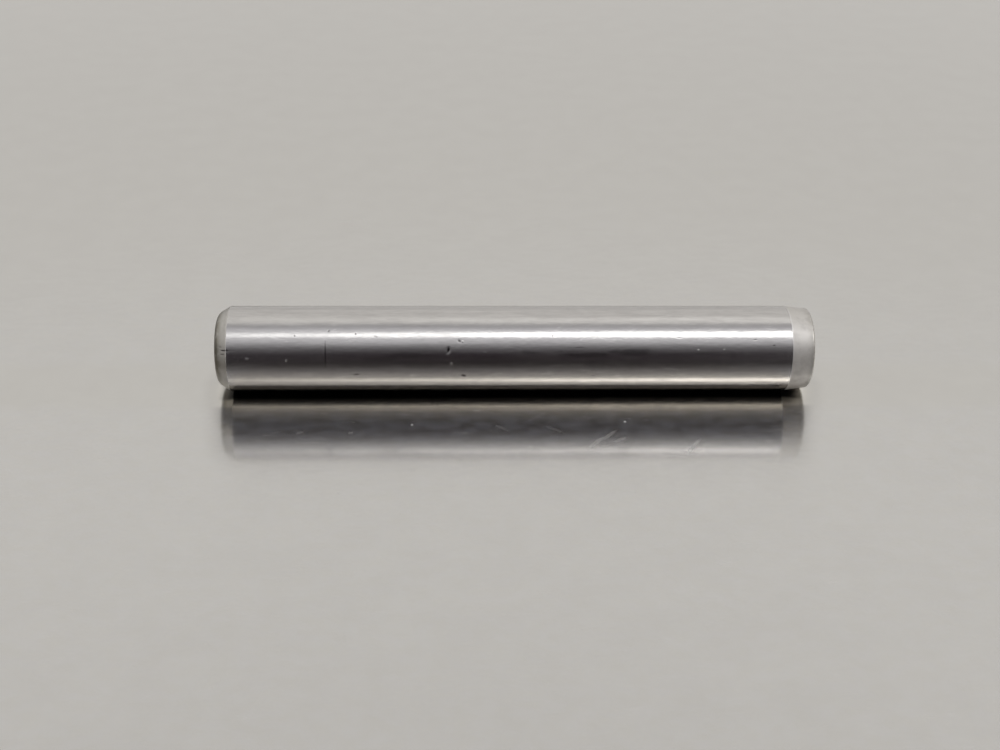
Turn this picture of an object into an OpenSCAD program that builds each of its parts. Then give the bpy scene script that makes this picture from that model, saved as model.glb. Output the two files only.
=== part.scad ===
/* [Shank] */
// Nominal diameter of the reamed hole that the pin is made for
nominal_d = 6.35; // [5:0.01:12.7]
// Amount that the shank is ground over the nominal diameter, so that it presses in
press_allowance = 0.005; // [0:0.001:0.025]
// Overall length, over the middles of both end faces
pin_len = 44.45; // [20:0.05:100]

/* [Rounded end] */
// Angle between the end's cone and the axis, in degrees
round_cone_angle = 32; // [20:0.5:45]
// Length of the cone along the axis, up to the rounded edge
round_cone_len = 0.65; // [0.3:0.01:0.9]
// Radius of the rounded edge between the cone and the end face
round_edge_r = 0.72; // [0.3:0.01:0.9]
// Crown radius of the end face
round_crown_r = 20; // [10:0.5:40]

/* [Point end] */
// Angle between the point's taper and the axis, in degrees
point_cone_angle = 7; // [4:0.5:16]
// Length of the taper along the axis, up to the broken edge
point_cone_len = 1.55; // [0.8:0.01:3]
// Radius of the broken edge between the taper and the end face
point_edge_r = 0.18; // [0.05:0.01:0.5]
// Crown radius of the end face
point_crown_r = 20; // [10:0.5:40]

/* [Hidden] */
$fn = 128;
// Overlap that makes an arc cross its neighbours, because curves that only touch don't join
weld = 0.0005;
shank_r = (nominal_d + press_allowance) / 2;

// An end is a list: angle and length of its cone, radius of its edge, crown radius of its face
rounded_end = [round_cone_angle, round_cone_len, round_edge_r, round_crown_r];
point_end = [point_cone_angle, point_cone_len, point_edge_r, point_crown_r];

// The functions below place an end's points as [radius, height]. The height is measured outwards
// from the shoulder, which is the circle where the shank stops.

// Where the cone runs into the edge's arc
function cone_tip(end) = [shank_r - end[1] * tan(end[0]), end[1]];
// Centre of the edge's arc, which touches the cone from inside
function edge_centre(end) = cone_tip(end) - end[2] * [cos(end[0]), sin(end[0])];
// Angle at the crown's centre between the axis and the edge's centre: both arcs meet on that line
function crown_lean(end) = asin(edge_centre(end).x / (end[3] - end[2]));
// Height of the crown's centre, which is on the axis
function crown_height(end) = edge_centre(end).y - (end[3] - end[2]) * cos(crown_lean(end));
// Distance of the shoulder from the middle of the pin
function shoulder(end) = pin_len / 2 - crown_height(end) - end[3];
// Straight outline of an end, from the shoulder to the axis, measured from the middle of the pin
function straight_outline(end) = [
    for (p = [[shank_r, 0], cone_tip(end), edge_centre(end), [0, edge_centre(end).y]])
        [p.x, shoulder(end) + p.y]
];

// Shank and both cones in half section, as far as the centres of the edge arcs
module straight_section() {
    rounded = straight_outline(rounded_end);
    polygon(concat(
        straight_outline(point_end),
        [for (i = [len(rounded) - 1 : -1 : 0]) [rounded[i].x, -rounded[i].y]]
    ));
}

// Edge and crowned face of one end in half section.
// The face is a slice of the crown's disc, from the axis out to the edge's arc.
module end_arcs(end) {
    lean = crown_lean(end);
    reach = 2 * end[3];
    translate([0, shoulder(end)]) {
        translate(edge_centre(end)) circle(end[2] + weld);
        translate([0, crown_height(end)])
            intersection() {
                circle(end[3]);
                polygon([[0, 0], reach * [sin(lean), cos(lean)], [0, reach]]);
            }
    }
}

// The pin lies along X, with its point towards +X and the middle of its axis at the origin
module dowel_pin() {
    color("silver")
        rotate([0, 90, 0])
            rotate_extrude() {
                straight_section();
                end_arcs(point_end);
                mirror([0, 1]) end_arcs(rounded_end);
            }
}

dowel_pin();
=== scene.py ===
"""Ground dowel pin: its finish, its marks and a plain studio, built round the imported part."""

import math

import bmesh
import bpy
import numpy as np
from mathutils import Matrix, Quaternion, Vector


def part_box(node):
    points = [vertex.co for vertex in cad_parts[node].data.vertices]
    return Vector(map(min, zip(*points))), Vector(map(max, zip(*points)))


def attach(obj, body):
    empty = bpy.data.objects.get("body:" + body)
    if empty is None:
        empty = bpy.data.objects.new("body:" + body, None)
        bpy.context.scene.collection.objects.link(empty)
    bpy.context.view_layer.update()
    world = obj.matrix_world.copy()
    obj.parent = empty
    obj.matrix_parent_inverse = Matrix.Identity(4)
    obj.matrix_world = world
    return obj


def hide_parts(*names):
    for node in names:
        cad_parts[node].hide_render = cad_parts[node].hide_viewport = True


bl_info = {
    "name": "Ground Dowel Pin",
    "version": (1, 0, 0),
    "blender": (4, 5, 0),
    "location": "View3D > Sidebar > Dowel Pin",
    "description": "Builds a ground steel dowel pin with its finish, and a plain studio to show it in",
    "category": "Object",
}

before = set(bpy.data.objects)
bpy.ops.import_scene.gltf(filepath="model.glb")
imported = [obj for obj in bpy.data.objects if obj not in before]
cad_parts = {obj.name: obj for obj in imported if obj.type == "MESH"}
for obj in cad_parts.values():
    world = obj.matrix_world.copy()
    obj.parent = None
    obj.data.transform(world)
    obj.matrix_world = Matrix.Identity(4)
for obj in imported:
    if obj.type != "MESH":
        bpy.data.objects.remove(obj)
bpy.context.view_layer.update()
PIN_LOW, PIN_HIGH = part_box("dowel_pin")
MM = 0.001
PIN_NAME = "ground_pin"


# ---------------- settings

def number_setting(name, description, default, **more):
    """A setting that is one number."""
    return bpy.props.FloatProperty(name=name, description=description, default=default, **more)


def length_setting(name, description, default, **more):
    """A length in metres."""
    return number_setting(name, description, default, unit="LENGTH", **more)


def angle_setting(name, description, degrees):
    """An angle, given in degrees."""
    return number_setting(name, description, math.radians(degrees), subtype="ANGLE")


def share_setting(name, description, default):
    """A share or a roughness, from 0 to 1."""
    return number_setting(name, description, default, min=0, max=1)


def color_setting(name, description, default):
    """A colour."""
    return bpy.props.FloatVectorProperty(
        name=name, description=description, default=default, subtype="COLOR", size=3)


class PinSizes(bpy.types.PropertyGroup):
    """Sizes of the pin. Its ends repeat the part's own sizes."""

    length: length_setting("Length", "Length over the middles of both end faces", PIN_HIGH.x - PIN_LOW.x)
    radius: length_setting("Shank radius", "Radius of the ground shank", (PIN_HIGH.z - PIN_LOW.z) / 2)
    round_angle: angle_setting("Rounded end's angle", "Angle of the rounded end's cone to the axis", 32)
    round_length: length_setting(
        "Rounded end's cone", "Length of the rounded end's cone along the axis", 0.65 * MM)
    round_edge: length_setting(
        "Rounded end's edge", "Radius of the edge between that cone and the face", 0.72 * MM)
    point_angle: angle_setting("Point's angle", "Angle of the point's taper to the axis", 7)
    point_length: length_setting("Point's taper", "Length of the point's taper along the axis", 1.55 * MM)
    point_edge: length_setting(
        "Point's edge", "Radius of the broken edge between the taper and the face", 0.18 * MM)
    crown: length_setting("Crown radius", "Crown radius of both end faces", 20 * MM)
    shoulder: length_setting(
        "Shoulder radius", "How far the corner between shank and cone is worn round", 0.06 * MM)
    columns: bpy.props.IntProperty(
        name="Columns", description="Points round the pin, besides those at the pits", default=200, min=24)
    ring_gap: length_setting("Ring gap", "Distance between the rings of points along the shank", 0.4 * MM)


class PinFinish(bpy.types.PropertyGroup):
    """Colours and gloss of the steel."""

    shank_color: color_setting("Ground steel", "Colour of the ground shank", (0.58, 0.567, 0.549))
    round_color: color_setting("Rounded end", "Colour of the tumbled rounded end", (0.50, 0.485, 0.455))
    point_color: color_setting("Point", "Colour of the turned taper at the point", (0.62, 0.60, 0.57))
    # Partly oxide and partly painted shade: it also stands in for the dark that the ends' edges reflect.
    oxide_and_shade_color: color_setting("Oxide", "Olive brown left by the furnace on the edges", (0.24, 0.225, 0.18))
    stain_color: color_setting(
        "Stain", "Colour of the dried oil and of the dirt in the pits", (0.07, 0.058, 0.06))
    shank_roughness: share_setting("Shank roughness", "Roughness of the ground shank", 0.175)
    round_roughness: share_setting("Rounded end's roughness", "Roughness of the rounded end", 0.30)
    point_roughness: share_setting("Point's roughness", "Roughness of the taper", 0.55)
    face_roughness: share_setting("Face roughness", "Roughness of the end faces", 0.38)
    grind_depth: length_setting(
        "Grind depth", "Depth of the fine lines round the shank", 0.00008 * MM, precision=8)


class StageSettings(bpy.types.PropertyGroup):
    """The studio: floor, lights, room and the camera's view of the pin."""

    floor_color: color_setting(
        "Floor", "Colour of the satin sheet that the pin lies on", (0.645, 0.633, 0.605))
    floor_gloss: share_setting("Floor gloss", "Share of the sheet's light that is reflected clearly", 0.45)
    floor_clear: share_setting("Clear roughness", "Roughness of the clear part", 0.11)
    floor_satin: share_setting("Satin roughness", "Roughness of the soft part", 0.24)
    floor_haze: share_setting("Haze", "Share of the sheet's light that is scattered all ways", 0.04)
    room_level: number_setting("Room level", "Brightness of the pale room all round", 0.78)
    room_color: color_setting("Room", "Colour of the pale room", (1.0, 0.98, 0.955))
    front_color: color_setting("Front", "Colour of the room in front and overhead", (0.99, 0.985, 1.03))
    dark_level: number_setting("Dark level", "Brightness of the dark side of the room", 0.026)
    dark_color: color_setting("Dark side", "Colour of the dark side of the room", (1.0, 0.76, 0.93))
    strip_level: number_setting("Strip level", "Brightness of the strip light in front", 2.2)
    strip_height: angle_setting("Strip height", "Elevation of the strip light over the front", 65.5)
    lens: number_setting("Lens", "Focal length on a 36 mm frame", 51.95)
    elevation: angle_setting("Elevation", "How far the camera looks down", 30.56)
    yaw: angle_setting("Yaw", "How far the camera looks to the pin's point end", 2.74)
    roll: angle_setting("Roll", "How far the camera leans over", 1.29)
    distance: length_setting(
        "Distance", "Distance from the camera to the pin's middle, along the view", 108.4 * MM)
    aim_left: length_setting("Aim left", "How far left of the pin's middle the camera aims", 1.13 * MM)
    aim_below: length_setting("Aim below", "How far below the pin's middle the camera aims", 2.015 * MM)


# ---------------- the pin's outline

# Material slots of the pin's mesh.
SHANK, ROUNDED, POINT, FACE = range(4)
# Rings on a worn shoulder, an edge arc and a face, and the gap between the rings on a cone.
SHOULDER_RINGS, EDGE_RINGS, FACE_RINGS = 7, 16, 26
CONE_GAP = 0.08 * MM
# The mesh is finer round each pit: reach and gap along the pin, then round it in radians.
PIT_REACH, PIT_GAP = 0.3 * MM, 0.025 * MM
PIT_TURN_REACH, PIT_TURN_GAP = 0.09, 0.011


def end_sizes(sizes):
    """Angle, cone length, edge radius and crown radius of the rounded end and of the point."""
    return ((sizes.round_angle, sizes.round_length, sizes.round_edge, sizes.crown),
            (sizes.point_angle, sizes.point_length, sizes.point_edge, sizes.crown))


def edge_arc(radius, angle, length, edge, crown):
    """Height and radius of the centre of an end's edge arc, and the lean where it meets the face."""
    centre_height = length - edge * math.sin(angle)
    centre_radius = radius - length * math.tan(angle) - edge * math.cos(angle)
    return centre_height, centre_radius, math.asin(centre_radius / (crown - edge))


def end_places(radius, angle, length, edge, crown):
    """Distances from the middle of an end's face to its shoulder and to the middle of its edge."""
    centre_height, _, lean = edge_arc(radius, angle, length, edge, crown)
    top = centre_height - (crown - edge) * math.cos(lean) + crown
    return top, top - centre_height - edge * math.sin((angle + math.pi / 2 - lean) / 2)


def end_outline(radius, angle, length, edge, crown, shoulder, slot):
    """One end as rings of (height above the shoulder, radius, material), from the shank to the face."""
    tip = radius - length * math.tan(angle)
    centre_height, centre_radius, lean = edge_arc(radius, angle, length, edge, crown)
    crown_height = centre_height - (crown - edge) * math.cos(lean)
    worn = shoulder * math.tan(angle / 2)
    rings = []
    for a in np.linspace(0, angle, SHOULDER_RINGS):
        rings.append((shoulder * math.sin(a) - worn, radius - shoulder * (1 - math.cos(a)), slot))
    last_height, last_radius, _ = rings[-1]
    for t in np.linspace(0, 1, max(4, round(length / CONE_GAP)))[1:]:
        rings.append((last_height + t * (length - last_height), last_radius + t * (tip - last_radius), slot))
    for a in np.linspace(angle, math.pi / 2 - lean, EDGE_RINGS)[1:]:
        rings.append((centre_height + edge * math.sin(a), centre_radius + edge * math.cos(a), slot))
    for a in np.linspace(lean, 0, FACE_RINGS)[1:]:
        rings.append((crown_height + crown * math.cos(a), crown * math.sin(a), FACE))
    return rings


# Marks on the shank and its rounded shoulder, in millimetres and degrees: place along the pin, turn
# from the top towards the front, half length along the pin, half width round it, lean, depth, dirt.
PITS = [
    (-5.02, 63.2, 0.11, 0.19, 8, 0.045, 0.95),
    (-5.12, 67.4, 0.08, 0.10, 0, 0.010, 0.0),
    (-4.22, 50.9, 0.14, 0.10, 38, 0.014, 0.6),
    (-21.25, 63.4, 0.34, 0.07, 3, 0.012, 0.97),
    (-21.40, 68.6, 0.20, 0.05, -8, 0.008, 0.6),
    (-21.55, 58.5, 0.12, 0.06, 10, 0.010, 0.4),
]
# The pits' dirt by itself, because their depth is in the mesh.
PIT_DIRT = [(*pit[:5], 0.0, pit[6]) for pit in PITS]
# Smaller ones, too small to press into the mesh: the same, with the depth in the bump's own steps.
NICKS = [
    (-19.60, 74.2, 0.18, 0.065, 0, -2.0, 0.0),
    (-16.78, 77.0, 0.07, 0.09, 0, -3.0, 0.0),
    (-16.17, 43.8, 0.09, 0.06, 20, 0.9, 0.5),
    (-13.95, 69.5, 0.065, 1.10, 0, 0.0, 0.55),
    (-13.72, 36.9, 0.11, 0.07, -20, 0.9, 0.6),
    (-11.76, 41.1, 0.08, 0.06, 0, 0.9, 0.6),
    (-11.72, 97.0, 0.26, 0.09, -8, 0.8, 0.65),
    (-10.30, 45.0, 0.18, 0.05, 15, 0.6, 0.3),
    (-6.90, 66.0, 0.05, 0.06, 0, 1.2, 0.6),
    (-4.79, 81.4, 0.07, 0.09, 10, -4.5, 0.0),
    (-3.98, 51.6, 0.07, 0.08, 30, -2.0, 0.0),
    (-3.92, 99.3, 0.22, 0.11, 14, 0.9, 0.85),
    (-2.35, 66.5, 0.14, 0.08, 10, -1.4, 0.3),
    (-1.10, 66.0, 0.12, 0.05, 0, 0.9, 0.5),
    (2.60, 44.0, 0.08, 0.06, 0, 0.9, 0.5),
    (3.20, 65.5, 0.07, 0.10, 0, 0.9, 0.6),
    (4.50, 60.5, 0.40, 0.045, 0, 0.5, 0.5),
    (5.60, 99.0, 0.16, 0.07, 0, 0.9, 0.5),
    (11.90, 47.0, 0.30, 0.05, 8, 0.5, 0.3),
    (13.30, 63.5, 0.08, 0.05, 0, -1.6, 0.0),
    (15.20, 63.0, 0.07, 0.05, 0, -1.8, 0.0),
    (17.50, 49.7, 0.20, 0.06, -10, 0.6, 0.5),
    (18.90, 57.5, 0.10, 0.06, 0, 0.9, 0.7),
]
# Thin dried oil, broken up at its edges.
STAINS = [
    (0.8, 66.5, 0.75, 0.15, 0, 0.0, 0.35),
    (5.0, 69.5, 1.9, 0.19, 0, 0.0, 0.40),
    (7.2, 65.5, 0.6, 0.17, 0, 0.0, 0.45),
    (8.4, 65.5, 1.7, 0.25, 0, 0.0, 0.50),
    (-7.6, 69.5, 1.6, 0.20, 0, 0.0, 0.25),
    (-9.9, 74.5, 1.2, 0.18, 0, 0.0, 0.25),
    (13.6, 67.0, 1.5, 0.12, 0, 0.0, 0.25),
]


def dent_depth(x, turn, radius):
    """Depth of the pits at each place, in metres."""
    depth = np.zeros(np.broadcast(x, turn).shape)
    for at, where, half_long, half_wide, lean, deep, _ in PITS:
        across = (np.mod(turn - math.radians(where) + math.pi, 2 * math.pi) - math.pi) * radius
        along = x - at * MM
        c, s = math.cos(math.radians(lean)), math.sin(math.radians(lean))
        u = (along * c + across * s) / (half_long * MM)
        v = (across * c - along * s) / (half_wide * MM)
        depth += deep * MM * np.exp(-(u * u + v * v))
    return depth


def close_places(low, high, gap, spots, reach, fine):
    """Places from low to high at an even gap, and at a fine one close to each spot."""
    places = list(np.linspace(low, high, round((high - low) / gap) + 1))
    for spot in spots:
        steps = round(reach / fine)
        places += [spot + fine * step for step in range(-steps, steps + 1)]
    kept = [places[0]]
    for place in sorted(p for p in places if low < p < high - fine / 2):
        if place - kept[-1] > fine * 0.6:
            kept.append(place)
    return kept + [high]


def pin_rings(sizes):
    """Rings of the whole pin as rows of (place along it, radius, material), from end to end."""
    round_sizes, point_sizes = end_sizes(sizes)
    rounded = end_outline(sizes.radius, *round_sizes, sizes.shoulder, ROUNDED)
    point = end_outline(sizes.radius, *point_sizes, sizes.shoulder, POINT)
    low = -sizes.length / 2 + rounded[-1][0]
    high = sizes.length / 2 - point[-1][0]
    spots = [pit[0] * MM for pit in PITS]
    shank = close_places(low - rounded[0][0], high + point[0][0], sizes.ring_gap, spots, PIT_REACH, PIT_GAP)
    rings = [(low - height, radius, slot) for height, radius, slot in reversed(rounded)]
    rings += [(place, sizes.radius, SHANK) for place in shank[1:-1]]
    rings += [(high + height, radius, slot) for height, radius, slot in point]
    return np.array(rings)


def turned_faces(slots, count):
    """Faces between rings of count points, closed by a point at both ends, and their materials."""
    faces, face_slots = [], []
    last = (len(slots) - 1) * count
    low_pole, high_pole = last + count, last + count + 1
    for row in range(len(slots) - 1):
        slot = slots[row] if slots[row] in (SHANK, FACE) else slots[row + 1]
        for col in range(count):
            nxt = (col + 1) % count
            faces.append((row * count + col, row * count + nxt,
                          (row + 1) * count + nxt, (row + 1) * count + col))
            face_slots.append(slot)
    for col in range(count):
        nxt = (col + 1) % count
        faces += [(low_pole, nxt, col), (high_pole, last + col, last + nxt)]
        face_slots += [FACE, FACE]
    return faces, face_slots


def pin_mesh(sizes):
    """The pin turned about X as one closed mesh, with the pits pressed into it."""
    rings = pin_rings(sizes)
    x, r, slots = rings[1:-1, 0], rings[1:-1, 1], rings[1:-1, 2].astype(int)
    spots = [math.radians(pit[1]) for pit in PITS]
    turn = np.array(close_places(0, 2 * math.pi, 2 * math.pi / sizes.columns, spots,
                                 PIT_TURN_REACH, PIT_TURN_GAP)[:-1])
    slope = np.gradient(r, x)
    normal_r = 1 / np.hypot(1, slope)
    normal_x = -slope * normal_r
    depth = dent_depth(x[:, None], turn[None, :], sizes.radius)
    across = r[:, None] - depth * normal_r[:, None]
    along = x[:, None] - depth * normal_x[:, None]
    points = np.stack([along, -across * np.sin(turn), across * np.cos(turn)], -1).reshape(-1, 3)
    points = np.vstack([points, [rings[0, 0], 0, 0], [rings[-1, 0], 0, 0]])
    faces, face_slots = turned_faces(slots, len(turn))
    mesh = bpy.data.meshes.new("dowel_pin_surface")
    mesh.from_pydata(points.tolist(), [], faces)
    mesh.polygons.foreach_set("material_index", face_slots)
    mesh.polygons.foreach_set("use_smooth", [True] * len(faces))
    mesh.update()
    return mesh


# ---------------- shader helpers

def add(tree, kind, inputs=None, **settings):
    """A new node. An input's key is its name or number, and its value a number or another output."""
    made = tree.nodes.new(kind)
    for name, value in settings.items():
        setattr(made, name, value)
    for key, value in (inputs or {}).items():
        if isinstance(value, bpy.types.NodeSocket):
            tree.links.new(value, made.inputs[key])
        else:
            made.inputs[key].default_value = value
    return made


def maths(tree, operation, first, second=0.0, clamp=False):
    """Output of one Math node."""
    return add(tree, "ShaderNodeMath", {0: first, 1: second}, operation=operation,
               use_clamp=clamp).outputs[0]


def plus(tree, first, second, clamp=False):
    """Sum of two values."""
    return maths(tree, "ADD", first, second, clamp)


def minus(tree, first, second, clamp=False):
    """First value less the second."""
    return maths(tree, "SUBTRACT", first, second, clamp)


def times(tree, first, second, clamp=False):
    """Product of two values."""
    return maths(tree, "MULTIPLY", first, second, clamp)


def hypotenuse(tree, first, second):
    """Root of the sum of both squares."""
    return maths(tree, "SQRT", plus(tree, times(tree, first, first), times(tree, second, second)))


def parts_of(tree, vector):
    """X, Y and Z of a vector."""
    return add(tree, "ShaderNodeSeparateXYZ", {0: vector}).outputs


def ramp(tree, value, low, high, new_low=0.0, new_high=1.0):
    """Output of a smooth Map Range node."""
    return add(tree, "ShaderNodeMapRange",
               {"Value": value, "From Min": low, "From Max": high, "To Min": new_low, "To Max": new_high},
               interpolation_type="SMOOTHSTEP").outputs["Result"]


def noise(tree, vector, scale, detail, roughness=0.5):
    """Value of a noise texture."""
    return add(tree, "ShaderNodeTexNoise",
               {"Vector": vector, "Scale": scale, "Detail": detail, "Roughness": roughness}).outputs[0]


def stretched(tree, vector, scale, turn=(0, 0, 0), shift=(0, 0, 0)):
    """Vector scaled by its own amount on each axis."""
    return add(tree, "ShaderNodeMapping",
               {"Vector": vector, "Scale": scale, "Rotation": turn, "Location": shift}).outputs[0]


def mixed(tree, factor, first, second):
    """Colour output of a Mix node. A colour may be given as three numbers."""
    first, second = (value if isinstance(value, bpy.types.NodeSocket) else (*value, 1)
                     for value in (first, second))
    return add(tree, "ShaderNodeMix", {0: factor, 6: first, 7: second}, data_type="RGBA").outputs[2]


def mixed_value(tree, factor, first, second):
    """Number output of a Mix node."""
    return add(tree, "ShaderNodeMix", {0: factor, 2: first, 3: second}, data_type="FLOAT").outputs[0]


def drawn_out(tree, place, along, across, detail, roughness, shift=(0, 0, 0)):
    """Value of a noise texture with its own scale along X."""
    scaled = stretched(tree, place, (along, across, across), shift=shift)
    return noise(tree, scaled, 1.0, detail, roughness)


def curve(tree, value, stops):
    """Colour of a value along a line of stops."""
    made = add(tree, "ShaderNodeValToRGB", {0: value})
    elements = made.color_ramp.elements
    while len(elements) < len(stops):
        elements.new(0.5)
    for element, (at, color) in zip(elements, stops):
        element.position = at
        element.color = (*color, 1)
    return made.outputs[0]


def new_group(name, inputs, outputs):
    """A shader node group with its sockets: default of each input, None for a vector, and the outputs."""
    tree = bpy.data.node_groups.new(name, "ShaderNodeTree")
    for label, default in inputs.items():
        kind = "NodeSocketVector" if default is None else "NodeSocketFloat"
        socket = tree.interface.new_socket(label, in_out="INPUT", socket_type=kind)
        if default is not None:
            socket.default_value = default
    for label in outputs:
        tree.interface.new_socket(label, in_out="OUTPUT", socket_type="NodeSocketFloat")
    return tree, add(tree, "NodeGroupInput").outputs, add(tree, "NodeGroupOutput").inputs


def grind_marks():
    """Fine lines that run round the pin, from the grinding wheel or the turning tool."""
    tree, given, out = new_group("Grind marks", {"Vector": None, "Lines per mm": 9.0}, ["Height"])
    place = stretched(tree, given["Vector"], (1.0, 0.02, 0.02))
    fine = noise(tree, place, given["Lines per mm"], 4.0, 0.7)
    tree.links.new(fine, out["Height"])
    return tree


def handling_scratches():
    """Short thin scratches in three directions, few and far between."""
    tree, given, out = new_group("Handling scratches", {"Vector": None, "Amount": 0.5}, ["Mask"])
    total = None
    for turn, shift in (((0.2, 0.1, 0.25), 3.0), ((0.9, -0.4, -0.6), 11.0), ((-0.5, 0.8, 1.2), 23.0)):
        line = noise(tree, stretched(tree, given["Vector"], (0.4, 7.0, 7.0), turn, (shift, 0, 0)), 1.0, 1.0)
        thin = ramp(tree, maths(tree, "ABSOLUTE", minus(tree, line, 0.5)), 0.010, 0.0)
        patch = ramp(tree, drawn_out(tree, given["Vector"], 0.5, 1.1, 1.0, 0.5, (0, shift, 0)), 0.62, 0.70)
        mark = times(tree, thin, patch)
        total = mark if total is None else maths(tree, "MAXIMUM", total, mark)
    tree.links.new(times(tree, total, given["Amount"], True), out["Mask"])
    return tree


def specks():
    """Small round spots at random places, with their own sizes."""
    tree, given, out = new_group(
        "Specks", {"Vector": None, "Spacing mm": 1.4, "Share": 0.2, "Radius mm": 0.07}, ["Mask"])
    scale = maths(tree, "DIVIDE", 1.0, given["Spacing mm"])
    cells = add(tree, "ShaderNodeTexVoronoi", {"Vector": given["Vector"], "Scale": scale})
    chance = add(tree, "ShaderNodeSeparateColor", {0: cells.outputs["Color"]})
    size = times(tree, times(tree, given["Radius mm"], scale),
                 ramp(tree, chance.outputs[1], 0.0, 1.0, 0.4, 1.3))
    spot = minus(tree, 1.0, maths(tree, "DIVIDE", cells.outputs["Distance"], size), True)
    chosen = maths(tree, "LESS_THAN", chance.outputs[0], given["Share"])
    tree.links.new(times(tree, ramp(tree, spot, 0.0, 0.5), chosen), out["Mask"])
    return tree


def one_mark():
    """One mark at its place on the round of the pin, or on a level sheet, with a ragged edge."""
    tree, given, out = new_group(
        "Mark",
        {"Vector": None, "At mm": 0.0, "Turn": 1.0, "Half length mm": 0.1, "Half width mm": 0.1,
         "Lean": 0.0, "Ragged": 0.2, "Ragged per mm": 3.0, "Flat": 0.0}, ["Mask"])
    parts = parts_of(tree, given["Vector"])
    turn = maths(tree, "ARCTAN2", times(tree, parts["Y"], -1.0), parts["Z"])
    radius = hypotenuse(tree, parts["Y"], parts["Z"])
    along = minus(tree, parts["X"], given["At mm"])
    round_pin = times(tree, minus(tree, turn, given["Turn"]), radius)
    across = mixed_value(tree, given["Flat"], round_pin, minus(tree, parts["Y"], given["Turn"]))
    c, s = maths(tree, "COSINE", given["Lean"]), maths(tree, "SINE", given["Lean"])
    u = maths(tree, "DIVIDE", plus(tree, times(tree, along, c), times(tree, across, s)),
              given["Half length mm"])
    v = maths(tree, "DIVIDE", minus(tree, times(tree, across, c), times(tree, along, s)),
              given["Half width mm"])
    reach = hypotenuse(tree, u, v)
    wobble = noise(tree, stretched(tree, given["Vector"], (0.5, 1.6, 1.6)), given["Ragged per mm"], 3.0, 0.6)
    wobble = times(tree, minus(tree, wobble, 0.5), given["Ragged"])
    tree.links.new(ramp(tree, plus(tree, reach, wobble), 1.15, 0.55), out["Mask"])
    return tree


def edge_wear():
    """Worn band round the pin at one place along it, broken up by noise."""
    tree, given, out = new_group("Edge wear", {"Vector": None, "At mm": 0.0, "Width mm": 0.15}, ["Mask"])
    parts = parts_of(tree, given["Vector"])
    off = maths(tree, "ABSOLUTE", minus(tree, parts["X"], given["At mm"]))
    band = ramp(tree, maths(tree, "DIVIDE", off, given["Width mm"]), 1.0, 0.1)
    broken = ramp(tree, noise(tree, given["Vector"], 2.0, 3.0, 0.6), 0.20, 0.56)
    tree.links.new(times(tree, band, broken), out["Mask"])
    return tree


def shared_groups():
    """The node groups that more than one material uses, built when they are first asked for."""
    makers = {"Grind marks": grind_marks, "Handling scratches": handling_scratches, "Specks": specks,
              "Mark": one_mark, "Edge wear": edge_wear}
    return {name: bpy.data.node_groups.get(name) or make() for name, make in makers.items()}


def cleared(owner):
    """The node tree of a material, a world or a light, without its nodes."""
    owner.use_nodes = True
    owner.node_tree.nodes.clear()
    return owner.node_tree


def place_in_mm(tree):
    """Place on the object, in millimetres."""
    own = add(tree, "ShaderNodeTexCoord").outputs["Object"]
    return add(tree, "ShaderNodeVectorMath", {0: own, "Scale": 1 / MM}, operation="SCALE").outputs[0]


def facing_away(tree):
    """How far the surface is turned away: 0 is seen straight on, 1 edge-on."""
    return add(tree, "ShaderNodeLayerWeight", {"Blend": 0.5}).outputs["Facing"]


def new_material(name):
    """A steel material, its tree, its shader and the place on the pin in millimetres."""
    material = bpy.data.materials.new(name)
    tree = cleared(material)
    shader = add(tree, "ShaderNodeBsdfPrincipled", {"Metallic": 1.0})
    add(tree, "ShaderNodeOutputMaterial", {"Surface": shader.outputs[0]})
    return material, tree, shader, place_in_mm(tree)


def use(tree, group, inputs):
    """First output of a node group placed in another tree."""
    return add(tree, "ShaderNodeGroup", inputs, node_tree=group).outputs[0]


def marks(tree, groups, place, table, ragged, coarse=4.5):
    """Dirt and height of a table of marks."""
    dirt, height = 0.0, 0.0
    for at, turn, half_long, half_wide, lean, deep, dirty in table:
        mask = use(tree, groups["Mark"], {
            "Vector": place, "At mm": at, "Turn": math.radians(turn), "Half length mm": half_long,
            "Half width mm": half_wide, "Lean": math.radians(lean), "Ragged": ragged,
            "Ragged per mm": coarse})
        if dirty:
            dirt = maths(tree, "MAXIMUM", times(tree, mask, dirty), dirt)
        if deep:
            height = plus(tree, times(tree, mask, -deep), height)
    return dirt, height


def bumps(tree, shader, layers):
    """Chain of bumps, each with its own height and depth in metres."""
    chain = {}
    for height, depth in layers:
        bump = add(tree, "ShaderNodeBump", {"Strength": 1.0, "Distance": depth, "Height": height, **chain})
        chain = {"Normal": bump.outputs[0]}
    tree.links.new(chain["Normal"], shader.inputs["Normal"])


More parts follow.
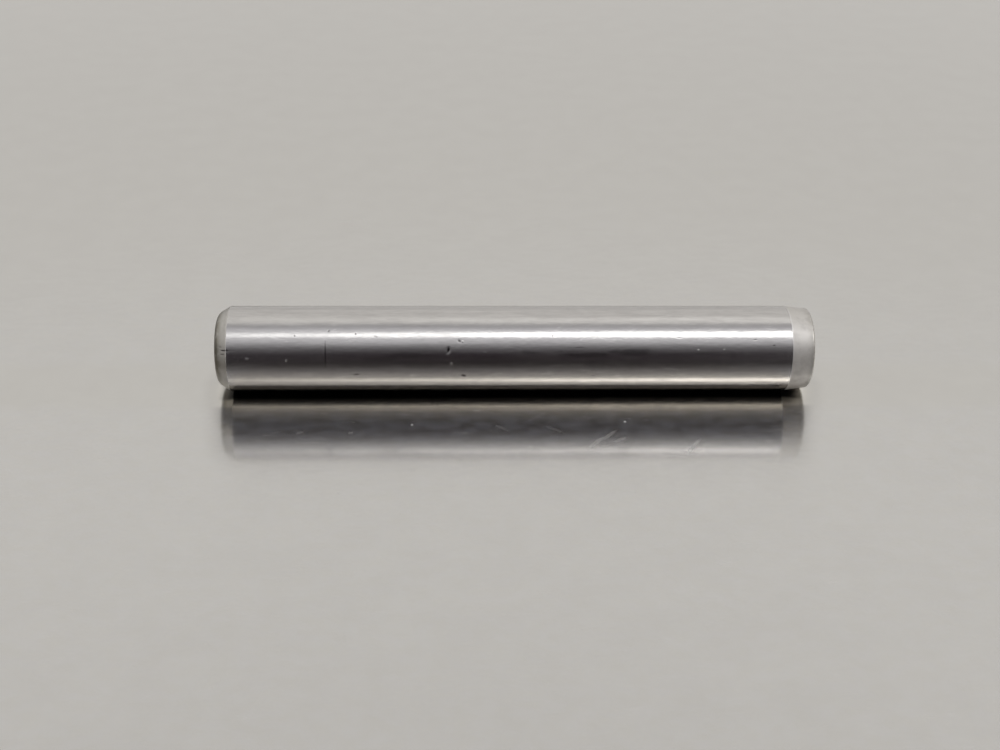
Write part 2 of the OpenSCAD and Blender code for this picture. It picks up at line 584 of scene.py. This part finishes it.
def ground_steel(finish, groups):
    """The shank: bright ground steel with fine lines round it, small marks, specks and dried oil, and a
    painted sheen where it turns edge-on.
    """
    material, tree, shader, place = new_material("ground_steel")
    stain = tuple(finish.stain_color)
    lines = use(tree, groups["Grind marks"], {"Vector": place, "Lines per mm": 9.0})
    scratch = use(tree, groups["Handling scratches"], {"Vector": place, "Amount": 0.8})
    dots = use(tree, groups["Specks"], {"Vector": place, "Spacing mm": 1.6, "Share": 0.4, "Radius mm": 0.055})
    pit_dirt, _ = marks(tree, groups, place, PIT_DIRT, 0.3)
    nick_dirt, nick_height = marks(tree, groups, place, NICKS, 0.5)
    film, _ = marks(tree, groups, place, STAINS, 2.2, 1.6)
    streaks = drawn_out(tree, place, 0.12, 2.2, 4.0, 0.6)
    patches = drawn_out(tree, place, 0.55, 2.2, 3.0, 0.65, (7.0, 0, 0))
    clouds = drawn_out(tree, place, 0.30, 0.8, 3.0, 0.6)
    dull = ramp(tree, clouds, 0.50, 0.72)
    color = mixed(tree, ramp(tree, streaks, 0.40, 0.75, 0.0, 0.10), tuple(finish.shank_color), stain)
    color = mixed(tree, times(tree, dull, 0.06), color, stain)
    color = mixed(tree, ramp(tree, patches, 0.36, 0.68, 0.0, 0.09), color, stain)
    color = mixed(tree, times(tree, dots, 0.6), color, stain)
    # Painted sheen: the base colour turns lighter where the shank is seen edge-on.
    color = mixed(tree, ramp(tree, facing_away(tree), 0.62, 0.86, 0.0, 0.55), color, (0.80, 0.785, 0.765))
    dirt = maths(tree, "MAXIMUM", maths(tree, "MAXIMUM", pit_dirt, nick_dirt), film)
    color = mixed(tree, dirt, color, stain)
    tree.links.new(color, shader.inputs["Base Color"])
    rough = plus(tree, finish.shank_roughness, times(tree, dull, 0.05))
    rough = plus(tree, rough, times(tree, minus(tree, patches, 0.5), 0.07))
    rough = plus(tree, rough, times(tree, minus(tree, lines, 0.5), 0.06))
    rough = plus(tree, rough, times(tree, maths(tree, "MAXIMUM", scratch, film), 0.05), True)
    tree.links.new(rough, shader.inputs["Roughness"])
    wavy = drawn_out(tree, place, 0.35, 0.9, 3.0, 0.55)
    small = minus(tree, minus(tree, nick_height, times(tree, scratch, 0.25)), times(tree, dots, 0.5))
    drag = drawn_out(tree, place, 1.6, 3.4, 3.0, 0.6, (3.0, 5.0, 0))
    bumps(tree, shader, [(wavy, 0.0026 * MM), (patches, 0.0014 * MM), (drag, 0.006 * MM),
                         (small, 0.006 * MM), (lines, finish.grind_depth)])
    return material


def formed_steel(finish, groups, name, color, roughness, shoulder, edge, lines_per_mm, oxide_and_shade, rubbed):
    """A cone and its edge: duller steel as it came from the furnace, the tumbler or the lathe, its edge band
    darkened partly by oxide and partly by painted shade.
    """
    material, tree, shader, place = new_material(name)
    stain = tuple(finish.stain_color)
    lines = use(tree, groups["Grind marks"], {"Vector": place, "Lines per mm": lines_per_mm})
    dots = use(tree, groups["Specks"], {"Vector": place, "Spacing mm": 0.9, "Share": 0.35, "Radius mm": 0.06})
    worn = use(tree, groups["Edge wear"], {"Vector": place, "At mm": shoulder, "Width mm": 0.12})
    pit_dirt, _ = marks(tree, groups, place, PIT_DIRT, 0.3)
    clouds = ramp(tree, noise(tree, place, 1.5, 4.0, 0.6), 0.42, 0.68)
    # Olive brown band on the edge: partly oxide, partly painted shade for the dark the rim reflects.
    browned_and_shaded = use(tree, groups["Edge wear"], {"Vector": place, "At mm": edge, "Width mm": 0.55})
    mix = mixed(tree, times(tree, browned_and_shaded, oxide_and_shade), tuple(color), tuple(finish.oxide_and_shade_color))
    mix = mixed(tree, times(tree, clouds, 0.10), mix, stain)
    mix = mixed(tree, times(tree, dots, 0.35), mix, stain)
    mix = mixed(tree, pit_dirt, mix, stain)
    mix = mixed(tree, times(tree, worn, 0.5), mix, (0.68, 0.67, 0.66))
    tree.links.new(mix, shader.inputs["Base Color"])
    rough = plus(tree, roughness, times(tree, clouds, 0.06))
    rough = minus(tree, rough, times(tree, worn, 0.10))
    bright = use(tree, groups["Edge wear"], {"Vector": place, "At mm": edge, "Width mm": 0.16})
    rough = minus(tree, rough, times(tree, bright, rubbed), True)
    tree.links.new(rough, shader.inputs["Roughness"])
    orange = noise(tree, place, 5.0, 3.0, 0.6)
    height = minus(tree, times(tree, orange, 1.2), dots)
    bumps(tree, shader, [(height, 0.0012 * MM), (lines, 0.0006 * MM)])
    return material


def face_steel(finish, groups):
    """End faces: faint rings from parting off, under the same tumbled finish."""
    material, tree, shader, place = new_material("face_steel")
    flat = add(tree, "ShaderNodeVectorMath", {0: place, 1: (0.0, 1.0, 1.0)}, operation="MULTIPLY")
    reach = add(tree, "ShaderNodeVectorMath", {0: flat.outputs[0]}, operation="LENGTH").outputs["Value"]
    rings = use(tree, groups["Grind marks"],
                {"Vector": add(tree, "ShaderNodeCombineXYZ", {0: reach}).outputs[0], "Lines per mm": 4.0})
    dots = use(tree, groups["Specks"], {"Vector": place, "Spacing mm": 1.0, "Share": 0.3, "Radius mm": 0.07})
    scratch = use(tree, groups["Handling scratches"], {"Vector": place, "Amount": 0.8})
    clouds = ramp(tree, noise(tree, place, 1.1, 4.0, 0.6), 0.42, 0.70)
    stain = tuple(finish.stain_color)
    mix = mixed(tree, times(tree, clouds, 0.10), tuple(finish.round_color), stain)
    mix = mixed(tree, times(tree, dots, 0.4), mix, stain)
    tree.links.new(mix, shader.inputs["Base Color"])
    rough = plus(tree, finish.face_roughness, times(tree, clouds, 0.06), True)
    tree.links.new(rough, shader.inputs["Roughness"])
    orange = noise(tree, place, 5.0, 3.0, 0.6)
    height = minus(tree, orange, plus(tree, dots, scratch))
    bumps(tree, shader, [(height, 0.0012 * MM), (rings, 0.0025 * MM)])
    return material


# ---------------- stage

def put(name, data):
    """A new object in the scene, with its mesh, light or camera."""
    made = bpy.data.objects.new(name, data)
    bpy.context.scene.collection.objects.link(made)
    return made


def toward(elevation, azimuth):
    """Unit direction from the pin at an elevation in degrees, azimuth 0 being the camera's side."""
    e, a = math.radians(elevation), math.radians(azimuth)
    return Vector((math.sin(a) * math.cos(e), -math.cos(a) * math.cos(e), math.sin(e)))


def softbox(name, place, distance, long_side, short_side, level, lean=0.0, slope=0.0, flare=0.0):
    """A soft-edged area light that faces the pin, given by its brightness and not by its power.

    Its place is its elevation and azimuth in degrees, as in toward().
    """
    light = bpy.data.lights.new(name, "AREA")
    light.shape = "RECTANGLE"
    light.size, light.size_y = long_side, short_side
    light.energy = level * math.pi * long_side * short_side
    tree = cleared(light)
    across = parts_of(tree, add(tree, "ShaderNodeNewGeometry").outputs["Parametric"])
    wider = ramp(tree, across["X"], 0.34, 0.66, -0.5 * flare, flare)
    middle = plus(tree, 0.5, wider)
    off = maths(tree, "ABSOLUTE", minus(tree, across["Y"], middle))
    edge = ramp(tree, minus(tree, off, wider), 0.5 - 1.5 * abs(flare), 0.1)
    along = ramp(tree, across["X"], 0.38, 0.66, 1.0 - slope, 1.0 + slope)
    glow = add(tree, "ShaderNodeEmission", {"Strength": times(tree, edge, along)})
    add(tree, "ShaderNodeOutputLight", {0: glow.outputs[0]})
    made = put(name, light)
    direction = toward(*place)
    azimuth = math.radians(place[1])
    side = Vector((math.cos(azimuth), math.sin(azimuth), 0))
    side.rotate(Quaternion(direction, lean))
    made.matrix_world = Matrix.Translation(direction * distance) @ Matrix(
        (side, direction.cross(side), direction)).transposed().to_4x4()
    return made


# Share of the room's light that is kept back: direction's turn about the pin in degrees (0 front,
# 90 overhead, 180 back), share.
SHADE = [(0, 1.0), (12, 1.0), (18, 0.95), (25, 0.87), (31, 0.76), (37, 0.57), (43, 0.28), (50, 0.02),
         (56, 0.0), (80, 0.0), (86, 0.30), (94, 0.38), (101, 0.0), (150, 0.0), (157, 0.06), (164, 0.15),
         (172, 0.23), (180, 0.29)]


def room_shade():
    """How far the room is darkened in each direction."""
    tree, given, out = new_group("Room shade", {"Direction": None}, ["Shade", "Front"])
    way = add(tree, "ShaderNodeVectorMath", {0: given["Direction"]}, operation="NORMALIZE").outputs[0]
    parts = parts_of(tree, way)
    turn = maths(tree, "ARCTAN2", maths(tree, "ABSOLUTE", parts["Z"]), times(tree, parts["Y"], -1.0))
    round_x = curve(tree, maths(tree, "DIVIDE", turn, math.pi),
                    [(degrees / 180, (share, share, share)) for degrees, share in SHADE])
    wide = maths(tree, "ABSOLUTE", parts["X"])
    aside = maths(tree, "ABSOLUTE", minus(tree, parts["X"], 0.05))
    round_x = times(tree, round_x, ramp(tree, aside, 0.08, 0.20, 1.0, 0.965))
    across = ramp(tree, wide, 0.55, 0.85)
    low = ramp(tree, maths(tree, "ABSOLUTE", parts["Z"]), 0.05, 0.42, 0.80, 0.0)
    beside = times(tree, ramp(tree, parts["Y"], -0.48, -0.22), ramp(tree, parts["Y"], 0.5, 0.0, 0.5, 1.0))
    side = times(tree, times(tree, low, beside), ramp(tree, parts["X"], -0.3, 0.3, 1.0, 0.7))
    tree.links.new(mixed_value(tree, across, round_x, side), out["Shade"])
    front = times(tree, ramp(tree, turn, math.radians(108), math.radians(84)), minus(tree, 1.0, across))
    tree.links.new(front, out["Front"])
    return tree


# Painted shade and painted light on the sheet close to the pin: share of its brightness, below 1 where
# less light gets in and above 1 in a band by the contact. Distance from its line of contact in millimetres,
# share as colour. First as the camera sees it, then as the pin reflects it.
NEAR_PAINTED_SEEN = [(2.7, (1.20, 1.18, 1.13)), (2.95, (1.18, 1.16, 1.11)), (3.35, (0.58, 0.565, 0.54)),
             (3.9, (0.465, 0.455, 0.435)), (4.6, (0.47, 0.465, 0.45)), (5.2, (0.55, 0.55, 0.54)),
             (5.7, (0.71, 0.705, 0.70)), (6.3, (0.91, 0.90, 0.89)), (7.5, (1.0, 1.0, 1.0))]
NEAR_PAINTED_MIRRORED = [(2.5, (1.20, 1.16, 1.10)), (3.2, (1.14, 1.10, 1.04)), (4.3, (0.93, 0.90, 0.84)),
                 (6.0, (0.84, 0.81, 0.77)), (9.9, (0.84, 0.82, 0.79))]
# Brightest share in both tables, and the distance in millimetres that both of them are scaled by.
NEAR_PEAK = 1.2
NEAR_REACH = 10.0
# Half the pin's length in millimetres, and the sizes of the floor and of the glow dome in metres.
HALF_PIN = (PIN_HIGH.x - PIN_LOW.x) / 2 / MM
FLOOR_HALF = 1.3
DOME_RADIUS = 1.9
BLACK = (0.0, 0.0, 0.0)
# Colour of the painted contact shadow along the pin's line of contact.
CONTACT_SHADOW_COLOR = (0.08, 0.08, 0.08)
SCUFF_COLOR = (0.95, 0.94, 0.92)
HAZE_COLOR = (0.74, 0.77, 0.90)
# Pale scuffs in the sheet, in millimetres and degrees: place, half length, half width, lean, strength.
SCUFFS = [
    (-7.67, -5.67, 0.10, 0.11, 0, 0.48),
    (7.90, -5.33, 0.11, 0.12, 0, 0.60),
    (5.60, -8.00, 0.95, 0.20, 50, 0.08),
    (6.60, -7.10, 0.85, 0.18, 48, 0.08),
    (7.30, -7.70, 0.65, 0.18, 30, 0.07),
    (12.50, -8.60, 1.00, 0.15, 58, 0.12),
    (12.15, -9.20, 0.22, 0.16, 40, 0.36),
    (-15.72, -6.69, 0.35, 0.14, 20, 0.06),
    (-12.07, -6.71, 0.20, 0.16, 0, 0.08),
    (2.60, -6.30, 0.80, 0.14, -35, 0.05),
    (-1.20, -6.10, 0.70, 0.14, -40, 0.05),
]


def painted_near_share(tree, spot, place, near, past, facing):
    """Painted shade and painted light of the sheet round the pin: its brightness, as a share of NEAR_PEAK."""
    seen = add(tree, "ShaderNodeLightPath").outputs["Is Camera Ray"]
    profiles = []
    for stops, low_x, high_x in ((NEAR_PAINTED_SEEN, 0.985, 1.015), (NEAR_PAINTED_MIRRORED, 1.02, 0.88)):
        scaled = times(tree, near, ramp(tree, place["X"], -20.0, 20.0, low_x, high_x))
        stops = [(at / NEAR_REACH, [part / NEAR_PEAK for part in share]) for at, share in stops]
        profiles.append(curve(tree, scaled, stops))
    direct, mirrored = profiles
    blotches = ramp(tree, noise(tree, spot, 1.1, 4.0, 0.7), 0.35, 0.65, 0.16, 0.0)
    mirrored = mixed(tree, blotches, mirrored, (0.4, 0.38, 0.36))
    even = [1 / NEAR_PEAK] * 3
    flat_or_steep = maths(tree, "MAXIMUM", ramp(tree, facing, 0.50, 0.60),
                          ramp(tree, facing, 0.42, 0.15, 0.0, 0.6))
    direct = mixed(tree, flat_or_steep, direct, even)
    share = mixed(tree, seen, mirrored, direct)
    share = mixed(tree, ramp(tree, place["Y"], -1.0, 1.0), share, even)
    share = mixed(tree, ramp(tree, past, HALF_PIN - 0.9, HALF_PIN + 1.15), share, even)
    # Painted shade: beyond the rounded end the sheet is darker for rays off the pin only, so the pin mirrors
    # a darker sheet.
    painted_beyond_shade = times(tree, ramp(tree, place["X"], 0.8 - HALF_PIN, -7.0 - HALF_PIN),
                   ramp(tree, place["X"], -5.0 * HALF_PIN, -2.5 * HALF_PIN))
    painted_beyond_shade = times(tree, painted_beyond_shade, minus(tree, 1.0, seen))
    return mixed(tree, painted_beyond_shade, share, [part / NEAR_PEAK for part in (0.34, 0.32, 0.30)])


def floor_color(tree, stage, spot, near, facing):
    """Colour of the sheet, with painted shade: a painted contact shadow along the line of contact, a painted
    soft shadow beside both ends, and the painted shade and light round the pin.
    """
    place = parts_of(tree, spot)
    # Distance from the pin's middle along it. Its mirrored ends draw in away from the line of contact.
    leaning = minus(tree, times(tree, near, 0.6), 0.12)
    past = plus(tree, maths(tree, "ABSOLUTE", plus(tree, place["X"], leaning)), times(tree, near, 2.2))
    full = [channel * NEAR_PEAK for channel in stage.floor_color]
    share = painted_near_share(tree, spot, place, near, past, facing)
    color = add(tree, "ShaderNodeVectorMath", {0: share, 1: full}, operation="MULTIPLY").outputs[0]
    # Painted contact shadow: the sheet turns dark along the pin's line of contact.
    middle = maths(tree, "ABSOLUTE", plus(tree, place["X"], 0.15))
    end = ramp(tree, middle, HALF_PIN - 1.25, HALF_PIN - 0.1)
    contact = times(tree, near, ramp(tree, place["X"], -20.0, 20.0, 1.02, 1.08))
    contact = times(tree, contact, ramp(tree, middle, HALF_PIN - 1.7, HALF_PIN - 0.9, 1.0, 0.93))
    contact = times(tree, minus(tree, 1.0, end), ramp(tree, contact, 0.235, 0.18))
    color = mixed(tree, contact, color, CONTACT_SHADOW_COLOR)
    # Painted soft shadow on the sheet beside both ends of the pin.
    beside = times(tree, ramp(tree, past, HALF_PIN + 1.9, HALF_PIN + 0.4),
                   ramp(tree, past, HALF_PIN - 0.5, HALF_PIN + 0.4, 0.0, 0.10))
    beside = times(tree, beside, times(tree, ramp(tree, near, 1.2, 0.75), ramp(tree, facing, 0.60, 0.50)))
    color = mixed(tree, beside, color, BLACK)
    color = mixed(tree, ramp(tree, facing, 0.45, 0.15, 0.0, 0.12), color, BLACK)
    color = mixed(tree, ramp(tree, facing, 0.42, 0.80, 0.0, 0.13), color, BLACK)
    clouds = noise(tree, spot, 0.30, 4.0, 0.65)
    return mixed(tree, ramp(tree, clouds, 0.3, 0.7, 0.0, 0.045), color, (0.3, 0.28, 0.26))


def floor_scuffs(tree, groups, spot):
    """How far the sheet is scuffed, and its scratches alone."""
    scratch = use(tree, groups["Handling scratches"],
                  {"Vector": stretched(tree, spot, (0.6, 0.6, 0.6)), "Amount": 0.6})
    dust = use(tree, groups["Specks"], {"Vector": spot, "Spacing mm": 7.0, "Share": 0.3, "Radius mm": 0.08})
    scuffs = times(tree, maths(tree, "MAXIMUM", scratch, dust), 0.07)
    for at_x, at_y, half_long, half_wide, lean, level in SCUFFS:
        mask = use(tree, groups["Mark"], {
            "Vector": spot, "Flat": 1.0, "At mm": at_x, "Turn": at_y, "Half length mm": half_long,
            "Half width mm": half_wide, "Lean": math.radians(lean), "Ragged": 0.9})
        scuffs = maths(tree, "MAXIMUM", times(tree, mask, level), scuffs)
    return scuffs, scratch


def satin_floor(stage, groups):
    """The sheet's material, which reflects clearly and softly and scatters a little."""
    material = bpy.data.materials.new("satin_floor")
    tree = cleared(material)
    spot = place_in_mm(tree)
    near = maths(tree, "DIVIDE", maths(tree, "ABSOLUTE", parts_of(tree, spot)["Y"]), NEAR_REACH)
    facing = facing_away(tree)
    scuffs, scratch = floor_scuffs(tree, groups, spot)
    color = mixed(tree, scuffs, floor_color(tree, stage, spot, near, facing), SCUFF_COLOR)
    height = plus(tree, noise(tree, spot, 1.3, 3.0, 0.6), scratch)
    normal = add(tree, "ShaderNodeBump",
                 {"Strength": 1.0, "Distance": 0.0015 * MM, "Height": height}).outputs[0]
    lobes = []
    for roughness in (stage.floor_satin, stage.floor_clear):
        rough = plus(tree, roughness, scuffs, True)
        lobes.append(add(tree, "ShaderNodeBsdfPrincipled",
                         {"Base Color": color, "Metallic": 1.0, "Roughness": rough,
                          "Normal": normal}).outputs[0])
    gloss = ramp(tree, facing, 0.55, 0.85, stage.floor_gloss, 0.95)
    both = add(tree, "ShaderNodeMixShader", {0: gloss, 1: lobes[0], 2: lobes[1]}).outputs[0]
    hazy = times(tree, ramp(tree, facing, 0.62, 0.50, 0.0, stage.floor_haze), ramp(tree, near, 0.22, 0.42))
    smears = noise(tree, stretched(tree, spot, (1.0, 1.4, 1.0)), 0.8, 5.0, 0.65)
    hazy = times(tree, hazy, ramp(tree, smears, 0.35, 0.65, 0.4, 1.6))
    haze = add(tree, "ShaderNodeBsdfPrincipled", {"Base Color": (*HAZE_COLOR, 1), "Roughness": 1.0})
    both = add(tree, "ShaderNodeMixShader", {0: hazy, 1: both, 2: haze.outputs[0]})
    add(tree, "ShaderNodeOutputMaterial", {"Surface": both.outputs[0]})
    return material


def make_floor(stage, groups):
    """The pale satin sheet that the pin lies on."""
    mesh = bpy.data.meshes.new("floor")
    corners = [(x * FLOOR_HALF, y * FLOOR_HALF, 0) for x, y in ((-1, -1), (1, -1), (1, 1), (-1, 1))]
    mesh.from_pydata(corners, [], [(0, 1, 2, 3)])
    mesh.materials.append(satin_floor(stage, groups))
    floor = put("floor", mesh)
    floor.location.z = PIN_LOW.z
    return floor


def shine_only_on(light, piece):
    """Keep a light or a glowing mesh to one piece."""
    receivers = bpy.data.collections.new(light.name + "_receivers")
    receivers.objects.link(piece)
    light.light_linking.receiver_collection = receivers


def make_world(stage, shade):
    """The pale room with its dark side in front, where the camera stands."""
    world = bpy.data.worlds.new("room")
    bpy.context.scene.world = world
    tree = cleared(world)
    way = add(tree, "ShaderNodeTexCoord").outputs["Generated"]
    back, front = ([channel * stage.room_level for channel in color]
                   for color in (stage.room_color, stage.front_color))
    dark = [channel * stage.dark_level for channel in stage.dark_color]
    share = add(tree, "ShaderNodeGroup", {"Direction": way}, node_tree=shade).outputs
    level = mixed(tree, share["Shade"], mixed(tree, share["Front"], back, front), dark)
    room = add(tree, "ShaderNodeBackground", {"Color": level, "Strength": 1.0})
    # Past the sheet's edge the camera sees the sheet's own brightness.
    shown = [channel * stage.room_level * 1.36 for channel in stage.floor_color]
    plain = add(tree, "ShaderNodeBackground", {"Color": (*shown, 1), "Strength": 1.0})
    seen = add(tree, "ShaderNodeLightPath").outputs["Is Camera Ray"]
    both = add(tree, "ShaderNodeMixShader", {0: seen, 1: room.outputs[0], 2: plain.outputs[0]})
    add(tree, "ShaderNodeOutputWorld", {"Surface": both.outputs[0]})


def make_glow(stage, shade, floor):
    """A dome that only the sheet sees, which keeps the sheet evenly pale from every side."""
    mesh = bpy.data.meshes.new("glow_dome")
    ball = bmesh.new()
    bmesh.ops.create_icosphere(ball, subdivisions=4, radius=DOME_RADIUS)
    ball.to_mesh(mesh)
    ball.free()
    dome = put("glow_dome", mesh)
    material = bpy.data.materials.new("glow")
    material.cycles.emission_sampling = "NONE"
    tree = cleared(material)
    way = add(tree, "ShaderNodeTexCoord").outputs["Object"]
    first = maths(tree, "COMPARE", add(tree, "ShaderNodeLightPath").outputs["Ray Depth"], 1.0)
    gap = stage.room_level - stage.dark_level
    full = [channel * gap for channel in stage.room_color]
    level = mixed(tree, times(tree, use(tree, shade, {"Direction": way}), first), (0, 0, 0), full)
    glow = add(tree, "ShaderNodeEmission", {"Color": level, "Strength": 1.0})
    air = add(tree, "ShaderNodeBsdfTransparent")
    both = add(tree, "ShaderNodeAddShader", {0: glow.outputs[0], 1: air.outputs[0]})
    add(tree, "ShaderNodeOutputMaterial", {"Surface": both.outputs[0]})
    mesh.materials.append(material)
    shine_only_on(dome, floor)
    dome.visible_camera = dome.visible_diffuse = dome.visible_shadow = False


def make_camera(stage):
    """Camera at the height, side and lean of the view."""
    data = bpy.data.cameras.new("camera")
    data.lens, data.sensor_width = stage.lens, 36.0
    data.clip_start, data.clip_end = 5 * MM, 10.0
    camera = put("camera", data)
    yaw, elevation, roll = stage.yaw, stage.elevation, stage.roll
    forward = Vector((math.sin(yaw) * math.cos(elevation), math.cos(yaw) * math.cos(elevation),
                      -math.sin(elevation)))
    level_right = Vector((math.cos(yaw), -math.sin(yaw), 0))
    level_up = level_right.cross(forward)
    right = level_right * math.cos(roll) + level_up * math.sin(roll)
    up = level_up * math.cos(roll) - level_right * math.sin(roll)
    aim = (PIN_LOW + PIN_HIGH) / 2 - right * stage.aim_left - up * stage.aim_below
    camera.matrix_world = Matrix.Translation(aim - forward * stage.distance) @ Matrix(
        (right, up, -forward)).transposed().to_4x4()
    bpy.context.scene.camera = camera


# ---------------- operators

class BuildPin(bpy.types.Operator):
    """Turn the pin from its outline, press its marks in and give it its finish"""

    bl_idname = "dowel.build_pin"
    bl_label = "Build Pin"

    def execute(self, context):
        sizes, finish = context.scene.dowel_sizes, context.scene.dowel_finish
        mesh = pin_mesh(sizes)
        groups = shared_groups()
        half = sizes.length / 2
        round_sizes, point_sizes = end_sizes(sizes)
        mesh.materials.append(ground_steel(finish, groups))
        shoulder, edge = end_places(sizes.radius, *round_sizes)
        mesh.materials.append(formed_steel(
            finish, groups, "rounded_end", color=finish.round_color, roughness=finish.round_roughness,
            shoulder=(shoulder - half) / MM, edge=(edge - half) / MM,
            lines_per_mm=5.0, oxide_and_shade=0.85, rubbed=0.0))
        shoulder, edge = end_places(sizes.radius, *point_sizes)
        mesh.materials.append(formed_steel(
            finish, groups, "point_taper", color=finish.point_color, roughness=finish.point_roughness,
            shoulder=(half - shoulder) / MM, edge=(half - edge) / MM,
            lines_per_mm=7.0, oxide_and_shade=0.30, rubbed=0.34))
        mesh.materials.append(face_steel(finish, groups))
        pin = put(PIN_NAME, mesh)
        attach(pin, "root")
        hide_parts("dowel_pin")
        return {"FINISHED"}


class BuildStage(bpy.types.Operator):
    """Lay the floor, hang the lights and set up the camera"""

    bl_idname = "dowel.build_stage"
    bl_label = "Build Stage"

    def execute(self, context):
        stage = context.scene.dowel_stage
        pin = bpy.data.objects.get(PIN_NAME)
        if pin is None:
            raise RuntimeError("build the pin before the stage")
        shade = room_shade()
        floor = make_floor(stage, shared_groups())
        make_world(stage, shade)
        make_glow(stage, shade, floor)
        softbox("strip_softbox", place=(math.degrees(stage.strip_height), 0), distance=0.6, long_side=1.0,
                short_side=0.207, level=stage.strip_level, lean=math.radians(3), slope=0.57, flare=0.05)
        softbox("rear_softbox", place=(112, 0), distance=0.9, long_side=1.6, short_side=0.5, level=0.20,
                slope=0.5)
        side = softbox("side_softbox", place=(32, 80), distance=0.8, long_side=0.34, short_side=0.36,
                       level=1.9)
        shine_only_on(side, pin)
        make_camera(stage)
        context.scene.view_settings.view_transform = "Standard"
        return {"FINISHED"}


class DowelPanel(bpy.types.Panel):
    """Settings and steps of the dowel pin"""

    bl_idname = "VIEW3D_PT_dowel_pin"
    bl_label = "Dowel Pin"
    bl_space_type = "VIEW_3D"
    bl_region_type = "UI"
    bl_category = "Dowel Pin"

    def draw(self, context):
        for name, cls in GROUPS.items():
            box = self.layout.box()
            for setting in cls.__annotations__:
                box.prop(getattr(context.scene, name), setting)
        for operator in OPERATORS:
            self.layout.operator(operator.bl_idname)


GROUPS = {"dowel_sizes": PinSizes, "dowel_finish": PinFinish, "dowel_stage": StageSettings}
OPERATORS = (BuildPin, BuildStage)


def register():
    """Add the settings, the steps and the panel."""
    for cls in (*GROUPS.values(), *OPERATORS, DowelPanel):
        bpy.utils.register_class(cls)
    for name, cls in GROUPS.items():
        setattr(bpy.types.Scene, name, bpy.props.PointerProperty(type=cls))


def unregister():
    """Take them away again."""
    for name in GROUPS:
        delattr(bpy.types.Scene, name)
    for cls in (DowelPanel, *reversed(OPERATORS), *reversed(GROUPS.values())):
        bpy.utils.unregister_class(cls)


def main():
    """Build everything in order."""
    register()
    bpy.ops.dowel.build_pin()
    bpy.ops.dowel.build_stage()


if __name__ == "__main__":
    main()
